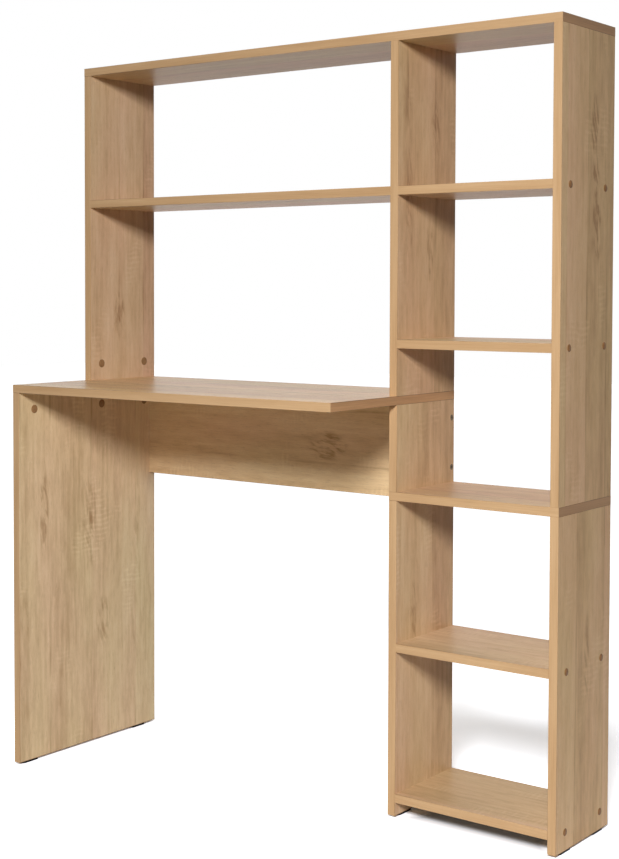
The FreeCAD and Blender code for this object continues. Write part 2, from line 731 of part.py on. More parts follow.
def check_document():
    """Stop if any object failed, or if a sub-part has no sound shape."""
    for item in doc.Objects:
        if "Invalid" in item.State or "Error" in item.State:
            raise RuntimeError(f"{item.Label} failed: {item.State}")
    for name, piece in pieces.items():
        if piece.Shape.isNull() or not piece.Shape.isValid() or not piece.Shape.Solids:
            raise RuntimeError(f"{name} has no sound shape")


fill_sheet()
all_boards = make_boards()
join_top_panel(all_boards)
join_tower_shelves(all_boards)
join_hutch_shelf(all_boards)
join_modesty_panel(all_boards)
join_stacked_uprights(all_boards)
join_leg_front(all_boards)
add_glides(all_boards)
make_fittings()
doc.recompute()
check_document()

os.makedirs("parts", exist_ok=True)
for name, piece in pieces.items():
    piece.Shape.exportStep(f"parts/{name}.step")
print(f"{len(pieces)} sub-parts, {sum(len(piece.Shape.Solids) for piece in pieces.values())} solids")
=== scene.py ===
import math

import bmesh
import bpy
from mathutils import Matrix, Vector


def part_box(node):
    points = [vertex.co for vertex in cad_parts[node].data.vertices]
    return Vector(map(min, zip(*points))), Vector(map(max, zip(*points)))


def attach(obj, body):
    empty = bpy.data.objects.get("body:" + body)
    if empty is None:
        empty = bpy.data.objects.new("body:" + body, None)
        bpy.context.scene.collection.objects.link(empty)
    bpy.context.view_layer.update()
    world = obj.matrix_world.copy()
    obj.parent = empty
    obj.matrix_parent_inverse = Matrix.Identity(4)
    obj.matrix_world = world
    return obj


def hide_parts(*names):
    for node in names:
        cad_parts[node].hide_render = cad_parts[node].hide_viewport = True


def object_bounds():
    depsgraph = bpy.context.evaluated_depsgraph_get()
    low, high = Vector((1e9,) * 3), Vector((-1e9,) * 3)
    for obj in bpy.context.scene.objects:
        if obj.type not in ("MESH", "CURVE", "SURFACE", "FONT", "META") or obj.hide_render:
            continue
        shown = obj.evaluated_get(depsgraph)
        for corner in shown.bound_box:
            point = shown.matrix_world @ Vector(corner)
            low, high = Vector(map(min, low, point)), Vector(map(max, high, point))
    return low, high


# The looks of a student desk with a hutch and a shelf tower, in light oak melamine.
# Everything is in metres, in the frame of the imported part: +Z up, the user on the -Y side.

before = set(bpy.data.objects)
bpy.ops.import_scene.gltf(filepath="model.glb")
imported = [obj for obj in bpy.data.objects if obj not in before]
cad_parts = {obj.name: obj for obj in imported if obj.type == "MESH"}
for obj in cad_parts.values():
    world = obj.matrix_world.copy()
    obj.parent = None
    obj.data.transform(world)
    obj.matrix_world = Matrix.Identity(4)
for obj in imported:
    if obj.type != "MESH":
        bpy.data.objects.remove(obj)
cad_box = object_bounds()

MM = 0.001
SAME = 1e-6  # two places closer than this are one
AXES = {"X": 0, "Y": 1, "Z": 2}

# ---------------------------------------------------------------- camera and light
IMAGE_SIZE = (619, 859)  # pixels
CAMERA_AT = (1.7177, -2.3121, 0.9513)
CAMERA_YAW = 38.27  # degrees to the left of +Y
CAMERA_PITCH = -2.09
CAMERA_ROLL = 0.07
FOCAL_PIXELS = 1545.28
PRINCIPAL_POINT = (249.07, 344.32)  # pixels from the image's top left
SENSOR = 36.0
CLIP_NEAR = 0.05
CLIP_FAR = 60

KEY_AT = (1.70, -2.84, 2.03)
KEY_SIZE = 0.75
KEY_WATTS = 172
KEY_AIM = (0.0, 0.0, -3.5)
KEY_COLOUR = (1.0, 0.985, 0.96)
FILL_AZIMUTH = 225  # degrees
FILL_ELEVATION = 10
FILL_STRENGTH = 1.2
FILL_SPREAD = 40  # degrees across
FILL_COLOUR = (1.0, 0.96, 0.89)
WORLD_STRENGTH = 0.01


def make_camera():
    data = bpy.data.cameras.new("photo_camera")
    camera = bpy.data.objects.new("photo_camera", data)
    bpy.context.scene.collection.objects.link(camera)
    long_side = max(IMAGE_SIZE)
    data.sensor_width = SENSOR
    data.lens = FOCAL_PIXELS / long_side * SENSOR
    data.shift_x = (IMAGE_SIZE[0] / 2 - PRINCIPAL_POINT[0]) / long_side
    data.shift_y = (PRINCIPAL_POINT[1] - IMAGE_SIZE[1] / 2) / long_side
    data.clip_start = CLIP_NEAR
    data.clip_end = CLIP_FAR
    turn = Matrix.Rotation(math.radians(CAMERA_YAW), 4, "Z")
    tilt = Matrix.Rotation(math.radians(90 + CAMERA_PITCH), 4, "X")
    roll = Matrix.Rotation(math.radians(CAMERA_ROLL), 4, "Z")
    camera.matrix_world = Matrix.Translation(CAMERA_AT) @ turn @ tilt @ roll
    bpy.context.scene.camera = camera


def direction(azimuth, elevation):
    """The way towards a lamp. Azimuth 0 is the desk's front, and 90 its right end."""
    turn, rise = math.radians(azimuth), math.radians(elevation)
    return Vector((math.sin(turn) * math.cos(rise), -math.cos(turn) * math.cos(rise), math.sin(rise)))


def add_light(name, kind, aim):
    data = bpy.data.lights.new(name, kind)
    lamp = bpy.data.objects.new(name, data)
    bpy.context.scene.collection.objects.link(lamp)
    lamp.rotation_mode = "QUATERNION"
    lamp.rotation_quaternion = aim.to_track_quat("-Z", "Y")
    return lamp


def make_lights():
    """A soft box in front and to the right, and a low sun from behind on the left for the far sides."""
    aim = Vector(KEY_AIM) - Vector(KEY_AT)
    key = add_light("soft_box", "AREA", aim)
    key.location = KEY_AT
    key.data.shape = "SQUARE"
    key.data.size = KEY_SIZE
    key.data.energy = KEY_WATTS
    key.data.color = KEY_COLOUR
    fill = add_light("far_side_fill", "SUN", -direction(FILL_AZIMUTH, FILL_ELEVATION))
    fill.data.energy = FILL_STRENGTH
    fill.data.color = FILL_COLOUR
    fill.data.angle = math.radians(FILL_SPREAD)
    fill.visible_glossy = False


def make_world():
    """An even white studio. Seen straight or in a reflection it is plain white."""
    world = bpy.data.worlds.new("studio")
    bpy.context.scene.world = world
    world.use_nodes = True
    nodes, links = world.node_tree.nodes, world.node_tree.links
    nodes.clear()
    lit = nodes.new("ShaderNodeBackground")
    lit.inputs["Strength"].default_value = WORLD_STRENGTH
    seen = nodes.new("ShaderNodeBackground")
    seen.inputs["Strength"].default_value = 1.0
    for background in (lit, seen):
        background.inputs["Color"].default_value = (1, 1, 1, 1)
    mix = nodes.new("ShaderNodeMixShader")
    output = nodes.new("ShaderNodeOutputWorld")
    links.new(seen_ray(nodes, links), mix.inputs[0])
    links.new(lit.outputs[0], mix.inputs[1])
    links.new(seen.outputs[0], mix.inputs[2])
    links.new(mix.outputs[0], output.inputs[0])


def seen_ray(nodes, links):
    """1 for rays from the camera and for those that a reflection or clear glass sends on."""
    path = nodes.new("ShaderNodeLightPath")
    total = None
    for ray in ("Is Camera Ray", "Is Glossy Ray", "Is Transmission Ray"):
        if total is None:
            total = path.outputs[ray]
            continue
        larger = nodes.new("ShaderNodeMath")
        larger.operation = "MAXIMUM"
        links.new(total, larger.inputs[0])
        links.new(path.outputs[ray], larger.inputs[1])
        total = larger.outputs[0]
    return total


# ---------------------------------------------------------------- material graphs
class Graph:
    """A material's nodes. A value handed to a socket is a number, a colour or another node's output."""

    def __init__(self, name):
        self.material = bpy.data.materials.new(name)
        self.material.use_nodes = True
        self.nodes = self.material.node_tree.nodes
        self.links = self.material.node_tree.links
        self.nodes.clear()
        self.shader = self.add("ShaderNodeBsdfPrincipled")
        self.output = self.add("ShaderNodeOutputMaterial")
        self.links.new(self.shader.outputs[0], self.output.inputs[0])

    def add(self, kind, **settings):
        node = self.nodes.new(kind)
        for name, value in settings.items():
            setattr(node, name, value)
        return node

    def feed(self, socket, value):
        if isinstance(value, bpy.types.NodeSocket):
            self.links.new(value, socket)
        else:
            socket.default_value = value

    def math(self, operation, *values, clamp=False):
        node = self.add("ShaderNodeMath", operation=operation, use_clamp=clamp)
        for socket, value in zip(node.inputs, values):
            self.feed(socket, value)
        return node.outputs[0]

    def vector(self, x, y, z):
        node = self.add("ShaderNodeCombineXYZ")
        for socket, value in zip(node.inputs, (x, y, z)):
            self.feed(socket, value)
        return node.outputs[0]

    def stretched(self, point, scales):
        """The point with each of its coordinates scaled."""
        return self.vector(*(self.math("MULTIPLY", value, scale) for value, scale in zip(point, scales)))

    def noise(self, vector, detail=2.0, roughness=0.5):
        node = self.add("ShaderNodeTexNoise")
        self.feed(node.inputs["Vector"], vector)
        node.inputs["Scale"].default_value = 1.0
        node.inputs["Detail"].default_value = detail
        node.inputs["Roughness"].default_value = roughness
        return node.outputs["Fac"]

    def cells(self, place, feature):
        """Cells along a line: a colour for each, or the distance to the nearest border."""
        node = self.add("ShaderNodeTexVoronoi", voronoi_dimensions="1D", feature=feature)
        self.feed(node.inputs["W"], place)
        node.inputs["Scale"].default_value = 1.0
        node.inputs["Randomness"].default_value = STAVE_RANDOMNESS
        return node

    def channels(self, colour):
        node = self.add("ShaderNodeSeparateColor")
        self.links.new(colour, node.inputs[0])
        return node.outputs[0], node.outputs[1], node.outputs[2]

    def shifted(self, value, middle, gain):
        """How far a value lies from its middle, times a gain."""
        return self.math("MULTIPLY", self.math("SUBTRACT", value, middle), gain)

    def ramp(self, value, *stops):
        """A smooth curve through stops, each a place and a grey level or a colour."""
        node = self.add("ShaderNodeValToRGB")
        elements = node.color_ramp.elements
        while len(elements) < len(stops):
            elements.new(0.5)
        for element, (place, level) in zip(elements, stops):
            element.position = place
            element.color = (*level, 1) if isinstance(level, tuple) else (level, level, level, 1)
        self.feed(node.inputs[0], value)
        return node.outputs[0]

    def spread(self, value, low, high):
        """0 at low and under it, 1 at high and over it."""
        node = self.add("ShaderNodeMapRange", interpolation_type="SMOOTHSTEP")
        self.feed(node.inputs["Value"], value)
        node.inputs["From Min"].default_value = low
        node.inputs["From Max"].default_value = high
        return node.outputs["Result"]

    def mix(self, share, first, second, blend="MIX"):
        node = self.add("ShaderNodeMix", data_type="RGBA", blend_type=blend)
        self.feed(node.inputs[0], share)
        self.feed(node.inputs[6], first if isinstance(first, bpy.types.NodeSocket) else (*first, 1))
        self.feed(node.inputs[7], second if isinstance(second, bpy.types.NodeSocket) else (*second, 1))
        return node.outputs[2]

    def bump(self, height, depth):
        node = self.add("ShaderNodeBump")
        self.feed(node.inputs["Height"], height)
        node.inputs["Strength"].default_value = 1.0
        node.inputs["Distance"].default_value = depth
        self.links.new(node.outputs[0], self.shader.inputs["Normal"])

    def object_point(self):
        coordinates = self.add("ShaderNodeTexCoord")
        split = self.add("ShaderNodeSeparateXYZ")
        self.links.new(coordinates.outputs["Object"], split.inputs[0])
        return list(split.outputs)


def srgb(red, green, blue):
    """A colour given in the usual 0-255 levels, as the linear one that shaders take."""
    return tuple(
        level / 12.92 if level <= 0.04045 else ((level + 0.055) / 1.055) ** 2.4
        for level in (red / 255, green / 255, blue / 255)
    )


# ---------------------------------------------------------------- light oak melamine
# How much more red, green and blue some boards send back than the rest. Each tint is partly the board's own
# tone and partly painted light: a painted sheen on the desktop, painted light on the hutch shelf, the left
# leg and the rear panel under the desk, and painted shade on the two outer sides of the tower, which takes
# back their sheen.
TINT_AND_PAINTED_LIGHT_OF_BOARD = {
    "top_panel": (1.08, 1.06, 1.00),
    "hutch_shelf": (1.10, 1.08, 1.04),
    "left_upright": (0.96, 0.95, 1.03),
    "hutch_divider": (0.93, 0.90, 0.90),
    "tower_right_upper": (0.96, 0.91, 0.84),
    "desktop": (1.20, 1.17, 1.08),
    "left_leg": (1.07, 1.17, 1.26),
    "modesty_panel": (1.22, 1.28, 1.32),
    "desk_divider": (0.95, 0.98, 0.95),
    "tower_left_lower": (0.96, 0.95, 0.98),
    "tower_right_lower": (0.99, 0.95, 0.86),
    "tower_lower_shelf": (0.97, 0.97, 1.00),
    "tower_base_shelf": (0.92, 0.90, 0.91),
}
PLAIN_TINT = (1, 1, 1)
ROUGHNESS_OF_BOARD = {"desktop": 0.20, "top_panel": 0.28, "hutch_shelf": 0.28}
PLAIN_ROUGHNESS = 0.32
FIBRE_ROUGHNESS = 0.20
MELAMINE_IOR = 1.20

DARK_OAK = srgb(164, 128, 92)
MIDDLE_OAK = srgb(214, 182, 145)
LIGHT_OAK = srgb(238, 212, 178)
PINK_CAST = (1.035, 0.967, 0.98)
STRAW_CAST = (0.98, 1.012, 0.92)
PORE = srgb(120, 84, 52)
PORE_SHARE = 0.25

# Dark flames of the growth: how far along and across the board, half their length and width, and how dark.
FLAMES = {
    "left_leg": [
        (0.67, 0.17, 110 * MM, 15 * MM, 1.0),
        (0.33, 0.60, 60 * MM, 24 * MM, 1.0),
    ],
    "left_upright": [
        (0.22, 0.44, 55 * MM, 20 * MM, 1.0),
        (0.86, 0.30, 50 * MM, 14 * MM, 0.4),
    ],
    "tower_right_upper": [
        (0.80, 0.62, 60 * MM, 17 * MM, 1.5),
        (0.69, 0.64, 45 * MM, 17 * MM, 1.5),
        (0.58, 0.67, 70 * MM, 20 * MM, 1.4),
    ],
    "hutch_divider": [
        (0.40, 0.55, 80 * MM, 14 * MM, 1.0),
        (0.78, 0.65, 60 * MM, 18 * MM, 1.0),
    ],
    "modesty_panel": [(0.64, 0.45, 55 * MM, 34 * MM, 1.3)],
    "tower_right_lower": [(0.55, 0.55, 90 * MM, 10 * MM, 1.0)],
    "tower_left_lower": [(0.62, 0.30, 70 * MM, 14 * MM, 1.0)],
    "desktop": [(0.35, 0.4, 150 * MM, 20 * MM, 1.0)],
}

STAVES_PER_METRE = 9
STAVE_RANDOMNESS = 0.8
STAVE_DRIFT = 0.12  # how far the borders wander, in staves
STAVE_LINE = 0.035  # the dark line's reach from a border, in staves
# How fast the drift, and the fading of the lines, change along the grain, per metre.
DRIFT_ALONG = 1.3
FADING_ALONG = 5
RIB_SPACING = 10 * MM
RIB_WANDER = 9  # radians of the ribs' wave
FLAME_SLANT = 0.16
FLAME_SWING = 30 * MM
CAST_STRENGTH = 1.6
BOARD_RELIEF = 0.08 * MM
RIB_RELIEF = 0.35  # as a share of the board's
# How fast each pattern of the print changes along the grain, across it and the third way, per metre.
BROAD = (1.3, 20, 20)
MOTTLE = (22, 75, 75)
STREAKS = (8.0, 130, 130)
FIBRE = (18, 620, 620)
PORES = (70, 1900, 1900)
CAST_CLOUD = (2.5, 9, 9)
FLAME_BEND = (9, 20, 20)
FLAME_MARKS = (24, 105, 105)
FLAME_PATCHES = (2.6, 12, 12)
RIB_SWAY = (9, 30, 30)
RIB_PATCHES = (7, 13, 13)
RIB_BREAKS = (160, 45, 45)

# By the axis or axes of the grain: the axes along the grain, across it, and the third way.
GRAIN_AXES = {"X": "XYZ", "Y": "YZX", "Z": "ZYX", "XZ": "XZY"}
SEED_STEP = (2.31, 1.17, 3.73)  # metres that one seed moves the print, the same three ways


def grain_point(graph, grain, seed):
    """The surface point as along the grain, across it, and the third way, shifted by the seed."""
    x, y, z = graph.object_point()
    place = {"X": x, "Y": y, "Z": z}
    return [graph.math("ADD", place[axis], seed * step) for axis, step in zip(GRAIN_AXES[grain], SEED_STEP)]


def stave_pattern(graph, along, across):
    """Glued staves side by side: each one's two random levels, and a fine dark line at some borders."""
    drift = graph.noise(graph.vector(graph.math("MULTIPLY", along, DRIFT_ALONG), across, 0.0), detail=1)
    place = graph.math("MULTIPLY_ADD", drift, STAVE_DRIFT, graph.math("MULTIPLY", across, STAVES_PER_METRE))
    level, hue, _ = graph.channels(graph.cells(place, "F1").outputs["Color"])
    border = graph.cells(place, "DISTANCE_TO_EDGE").outputs["Distance"]
    line = graph.math("SUBTRACT", 1.0, graph.spread(border, 0.0, STAVE_LINE))
    fading = graph.noise(graph.vector(graph.math("MULTIPLY", along, FADING_ALONG), across, 3.0))
    return level, hue, graph.math("MULTIPLY", line, graph.spread(fading, 0.45, 0.6)), border


def growth_figure(graph, point, border, flames):
    """Short dark slanted flames of the growth: in patches beside a stave's border, and at the masks."""
    along, across, third = point
    bend = graph.shifted(graph.noise(graph.stretched(point, FLAME_BEND), detail=2), 0.5, FLAME_SWING)
    slanted = graph.math("ADD", graph.math("MULTIPLY_ADD", along, FLAME_SLANT, across), bend)
    marks = graph.noise(graph.stretched((along, slanted, third), FLAME_MARKS), detail=3, roughness=0.6)
    marks = graph.spread(marks, 0.40, 0.66)
    patches = graph.spread(graph.noise(graph.stretched(point, FLAME_PATCHES), detail=2), 0.58, 0.74)
    near_border = graph.math("SUBTRACT", 1.0, graph.math("MULTIPLY", graph.spread(border, 0.03, 0.30), 0.8))
    patches = graph.math("MULTIPLY", patches, near_border)
    for flame in flames:
        patches = graph.math("MAXIMUM", patches, flame)
    return graph.math("MULTIPLY", marks, patches)


def flame_masks(graph, board, grain):
    """How dark each of a board's flames is in its middle, falling to 0 outside it."""
    low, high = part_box(board)
    axes = [AXES[name] for name in GRAIN_AXES[grain]]
    place = graph.object_point()
    masks = []
    for along_share, across_share, half_length, half_width, strength in FLAMES.get(board, []):
        total = 0.0
        for axis, share, half in zip(axes, (along_share, across_share), (half_length, half_width)):
            middle = low[axis] + share * (high[axis] - low[axis])
            off = graph.math("DIVIDE", graph.math("SUBTRACT", place[axis], middle), half)
            total = graph.math("MULTIPLY_ADD", off, off, total)
        inside = graph.math("SUBTRACT", 1.0, graph.spread(total, 0.2, 1.1))
        masks.append(graph.math("MULTIPLY", inside, strength))
    return masks


def saw_ribs(graph, point):
    """Shallow ribs across the grain, as a band saw leaves them, in patches that fade out."""
    sway = graph.noise(graph.stretched(point, RIB_SWAY), detail=1)
    wander = graph.math("MULTIPLY", sway, RIB_WANDER)
    phase = graph.math("MULTIPLY_ADD", point[0], math.tau / RIB_SPACING, wander)
    wave = graph.math("MULTIPLY_ADD", graph.math("SINE", phase), 0.5, 0.5)
    patches = graph.spread(graph.noise(graph.stretched(point, RIB_PATCHES), detail=1), 0.56, 0.68)
    broken = graph.spread(graph.noise(graph.stretched(point, RIB_BREAKS), detail=2), 0.35, 0.6)
    return graph.math("MULTIPLY", graph.math("MULTIPLY", wave, patches), broken)


def wood_tone(graph, patterns):
    """How light the wood is, from 0 to 1: each pattern adds its distance from its middle, weighted."""
    tone = 0.5
    for pattern, middle, weight in patterns:
        tone = graph.math("ADD", tone, graph.shifted(pattern, middle, weight))
    return tone


def oak_colour(graph, board, point, tone, hue):
    """The colour of a tone, with a pink or a straw cast and the board's tint, which is partly its own tone
    and partly painted light.
    """
    colour = graph.ramp(tone, (0.0, DARK_OAK), (0.5, MIDDLE_OAK), (1.0, LIGHT_OAK))
    cloud = graph.noise(graph.stretched(point, CAST_CLOUD), detail=1)
    cast = graph.math("ADD", hue, graph.shifted(cloud, 0.5, CAST_STRENGTH), clamp=True)
    cast = graph.mix(cast, PINK_CAST, STRAW_CAST)
    colour = graph.mix(1.0, colour, cast, blend="MULTIPLY")
    return graph.mix(1.0, colour, TINT_AND_PAINTED_LIGHT_OF_BOARD.get(board, PLAIN_TINT), blend="MULTIPLY")


def oak_material(board, grain, seed):
    """Printed oak in staves, with streaks, growth lines, pores and saw ribs."""
    graph = Graph(f"oak_{board}")
    point = grain_point(graph, grain, seed)
    along, across, _ = point
    level, hue, line, border = stave_pattern(graph, along, across)
    figure = growth_figure(graph, point, border, flame_masks(graph, board, grain))
    ribs = saw_ribs(graph, point)
    broad = graph.noise(graph.stretched(point, BROAD), detail=3, roughness=0.6)
    mottle = graph.noise(graph.stretched(point, MOTTLE), detail=3, roughness=0.6)
    streaks = graph.noise(graph.stretched(point, STREAKS), detail=2, roughness=0.6)
    fibre = graph.noise(graph.stretched(point, FIBRE), detail=3, roughness=0.65)
    pores = graph.spread(graph.noise(graph.stretched(point, PORES), detail=1), 0.60, 0.70)
    tone = wood_tone(graph, (
        (level, 0.5, 0.24),
        (broad, 0.5, 0.75),
        (mottle, 0.5, 0.40),
        (streaks, 0.5, 0.38),
        (fibre, 0.5, 0.27),
        (figure, 0.0, -0.36),
        (line, 0.0, -0.22),
        (ribs, 0.0, 0.13),
    ))
    colour = oak_colour(graph, board, point, tone, hue)
    colour = graph.mix(graph.math("MULTIPLY", pores, PORE_SHARE), colour, PORE)
    plain = ROUGHNESS_OF_BOARD.get(board, PLAIN_ROUGHNESS)
    roughness = graph.math("MULTIPLY_ADD", fibre, FIBRE_ROUGHNESS, plain)
    graph.feed(graph.shader.inputs["Base Color"], colour)
    graph.feed(graph.shader.inputs["Roughness"], roughness)
    graph.shader.inputs["IOR"].default_value = MELAMINE_IOR
    hollows = graph.math("MULTIPLY", pores, -1.0)
    graph.bump(graph.math("MULTIPLY_ADD", ribs, RIB_RELIEF, hollows), BOARD_RELIEF)
    return graph.material


EDGE_LIGHT = srgb(207, 173, 133)
EDGE_DARK = srgb(182, 145, 105)
# The end strips' darker colours are painted shade: they are the same banding as the long strips, which the
# light meets at another angle.
SHADED_END_LIGHT = srgb(190, 149, 110)
SHADED_END_DARK = srgb(156, 119, 84)
END_SHADE_LIFT = {"desktop": 1.22}  # how much lighter a board's end strips are, with less painted shade
# Painted shade along the rounded edges of an end strip: a dark line where it meets the next board, in place
# of the shade in the joint's groove.
SEAM_SHADE_LIGHT = srgb(124, 92, 62)
SEAM_SHADE_DARK = srgb(100, 73, 48)
EDGE_ROUGHNESS = 0.34
EDGE_RELIEF = 0.03 * MM
EDGE_BROAD = (3, 60, 60)
EDGE_FINE = (14, 900, 900)


def edge_material(name, grain, seed, light, dark):
    """Plainer wood than the boards', with fine lines along it. The edge strips and the dowels have it."""
    graph = Graph(name)
    point = grain_point(graph, grain, seed)
    broad = graph.noise(graph.stretched(point, EDGE_BROAD), detail=2)
    fine = graph.noise(graph.stretched(point, EDGE_FINE), detail=3, roughness=0.7)
    tone = wood_tone(graph, ((broad, 0.5, 1.4), (fine, 0.5, 1.3)))
    graph.feed(graph.shader.inputs["Base Color"], graph.ramp(tone, (0.0, dark), (1.0, light)))
    roughness = graph.math("MULTIPLY_ADD", fine, FIBRE_ROUGHNESS, EDGE_ROUGHNESS)
    graph.feed(graph.shader.inputs["Roughness"], roughness)
    graph.shader.inputs["IOR"].default_value = MELAMINE_IOR
    graph.bump(fine, EDGE_RELIEF)
    return graph.material


# ---------------------------------------------------------------- plastic and metal
PLASTIC_IOR = 1.2
PLATING_RELIEF = 0.02 * MM
# How far the roughness ranges over a surface.
PLASTIC_SPREAD = 0.2
PLATING_SPREAD = 0.3
# How many clouds of colour a metre has.
PLASTIC_CLOUDS = 120
PLATING_CLOUDS = 300
FLOOR_CLOUDS = 3


def moulded_plastic(name, light, dark, roughness, texture_size):
    """Moulded plastic with a fine texture and a faint cloud in its colour."""
    grain_size, depth = texture_size
    graph = Graph(name)
    point = graph.object_point()
    cloud = graph.noise(graph.stretched(point, (PLASTIC_CLOUDS,) * 3), detail=3)
    texture = graph.noise(graph.stretched(point, (1 / grain_size,) * 3), detail=2)
    graph.feed(graph.shader.inputs["Base Color"], graph.ramp(cloud, (0.3, dark), (0.7, light)))
    lowest = roughness - PLASTIC_SPREAD / 2
    graph.feed(graph.shader.inputs["Roughness"], graph.math("MULTIPLY_ADD", texture, PLASTIC_SPREAD, lowest))
    graph.shader.inputs["IOR"].default_value = PLASTIC_IOR
    graph.bump(texture, depth)
    return graph.material


def plated_metal(name, light, dark, roughness):
    """Plated metal, a little clouded."""
    graph = Graph(name)
    point = graph.object_point()
    cloud = graph.noise(graph.stretched(point, (PLATING_CLOUDS,) * 3), detail=3)
    graph.feed(graph.shader.inputs["Base Color"], graph.ramp(cloud, (0.3, dark), (0.7, light)))
    lowest = roughness - PLATING_SPREAD / 2
    graph.feed(graph.shader.inputs["Roughness"], graph.math("MULTIPLY_ADD", cloud, PLATING_SPREAD, lowest))
    graph.shader.inputs["Metallic"].default_value = 1.0
    graph.bump(cloud, PLATING_RELIEF)
    return graph.material


# ---------------------------------------------------------------- the frame's own pieces
GRAIN_OF_THIN = {"X": "Z", "Z": "X", "Y": "XZ"}  # a board's grain, by the axis that it is thin along


def thin_axis(node):
    low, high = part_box(node)
    size = high - low
    return min("XYZ", key=lambda axis: size[AXES[axis]])


def islands(node):
    """Each separate solid of a CAD node, as a new bmesh of its own, always in the same order."""
    source = bmesh.new()
    source.from_mesh(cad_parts[node].data)
    bmesh.ops.remove_doubles(source, verts=source.verts, dist=SAME)
    seen = set()
    found = []
    for start in source.verts:
        if start in seen:
            continue
        group, fresh = {start}, [start]
        while fresh:
            vertex = fresh.pop()
            for edge in vertex.link_edges:
                other = edge.other_vert(vertex)
                if other not in group:
                    group.add(other)
                    fresh.append(other)
        seen |= group
        solid = bmesh.new()
        copies = {vertex: solid.verts.new(vertex.co) for vertex in source.verts if vertex in group}
        for face in source.faces:
            if face.verts[0] in group:
                solid.faces.new([copies[vertex] for vertex in face.verts])
        found.append(solid)
    source.free()
    return found


def corners(solid):
    """The lowest and highest corners of a bmesh's box."""
    points = [vertex.co for vertex in solid.verts]
    low = Vector(min(point[i] for point in points) for i in range(3))
    high = Vector(max(point[i] for point in points) for i in range(3))
    return low, high


def new_piece(name, solid, materials, node):
    """A piece of the object that rides on the part and stands for a CAD node."""
    piece = bpy.data.objects.new(name, mesh_of(name, solid, materials))
    bpy.context.scene.collection.objects.link(piece)
    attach(piece, "root")
    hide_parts(node)


def mesh_of(name, solid, materials=()):
    mesh = bpy.data.meshes.new(name)
    for material in materials:
        mesh.materials.append(material)
    solid.to_mesh(mesh)
    solid.free()
    return mesh


# ---------------------------------------------------------------- edging with rounded edges
EDGE_ROUND = 0.6 * MM
STRIP_GRAIN = {"X": "Z", "Z": "X", "Y": "X"}  # the way of the long strips, by the board's thin axis
END_GRAIN = {"X": "Y", "Z": "Y", "Y": "Z"}  # the way of the end strips
LONG_STRIP, SHADED_END_FACE, END_SEAM_SHADE = 0, 1, 2  # places in an edging's list of materials


def join(joined, solid, materials=()):
    """Adds a solid to a larger one."""
    part = mesh_of("part", solid, materials)
    joined.from_mesh(part)
    bpy.data.meshes.remove(part)


def strip_section(depth, width, steps=4):
    """Points round a strip's section, from the board outwards: square there, round at the outer corners."""
    points = [(0, 0)]
    for middle, start in ((EDGE_ROUND, -90), (width - EDGE_ROUND, 0)):
        for step in range(steps + 1):
            angle = math.radians(start + 90 * step / steps)
            points.append((
                depth - EDGE_ROUND + EDGE_ROUND * math.cos(angle), middle + EDGE_ROUND * math.sin(angle)
            ))
    return points + [(0, width)]


def make_strip(low, high, side, high_side, thin, is_long):
    """A strip that fills a box, with its outer edges rounded. It is put on along the side axis."""
    length_axis = 3 - side - thin
    section = strip_section(high[side] - low[side], high[thin] - low[thin])
    solid = bmesh.new()
    rings = []
    for place in (low[length_axis], high[length_axis]):
        ring = []
        for out, over in section:
            point = Vector((0, 0, 0))
            point[side] = low[side] + out if high_side else high[side] - out
            point[thin] = low[thin] + over
            point[length_axis] = place
            ring.append(solid.verts.new(point))
        rings.append(ring)
    count = len(section)
    for i in range(count):
        j = (i + 1) % count
        face = solid.faces.new([rings[0][i], rings[0][j], rings[1][j], rings[1][i]])
        rounded = section[i][0] > 0 and section[j][0] > 0 and section[i][0] != section[j][0]
        face.smooth = rounded
        face.material_index = LONG_STRIP if is_long else END_SEAM_SHADE if rounded else SHADED_END_FACE
    for ring in rings:
        solid.faces.new(ring).material_index = LONG_STRIP if is_long else SHADED_END_FACE
    bmesh.ops.recalc_face_normals(solid, faces=solid.faces)
    return solid


def board_strips(board):
    """A board's strips: the long ones run the full length, and the end ones fit between them."""
    outer_low, outer_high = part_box(f"{board}_edging")
    inner_low, inner_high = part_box(board)
    thin_name = thin_axis(board)
    thin, along = AXES[thin_name], AXES[STRIP_GRAIN[thin_name]]
    across = 3 - thin - along
    for side in (across, along):
        for high_side in (False, True):
            low, high = Vector(outer_low), Vector(outer_high)
            if high_side:
                low[side] = inner_high[side]
            else:
                high[side] = inner_low[side]
            if high[side] - low[side] < EDGE_ROUND:
                continue
            if side == along:
                low[across], high[across] = inner_low[across], inner_high[across]
            yield make_strip(low, high, side, high_side, thin, side == across)


def strip_materials(board, seed):
    """The long strips' material, the end strips' with their painted shade, and the painted shade along an
    end strip's rounded edges.
    """
    thin = thin_axis(board)
    lift = END_SHADE_LIFT.get(board, 1.0)
    shaded_end_light, shaded_end_dark = (tuple(level * lift for level in colour) for colour in (SHADED_END_LIGHT, SHADED_END_DARK))
    return [
        edge_material(f"{board}_edge", STRIP_GRAIN[thin], seed, EDGE_LIGHT, EDGE_DARK),
        edge_material(f"{board}_shaded_end_edge", END_GRAIN[thin], seed, shaded_end_light, shaded_end_dark),
        edge_material(f"{board}_end_seam_shade", END_GRAIN[thin], seed, SEAM_SHADE_LIGHT, SEAM_SHADE_DARK),
    ]


def make_edging(board, seed):
    """A board's edge strips with rounded outer edges, as one piece."""
    materials = strip_materials(board, seed)
    joined = bmesh.new()
    for strip in board_strips(board):
        join(joined, strip, materials)
    new_piece(f"{board}_edge_strips", joined, materials, f"{board}_edging")


# ---------------------------------------------------------------- turned pieces
ROUND_SIDES = 48
PEG_SIDES = 24


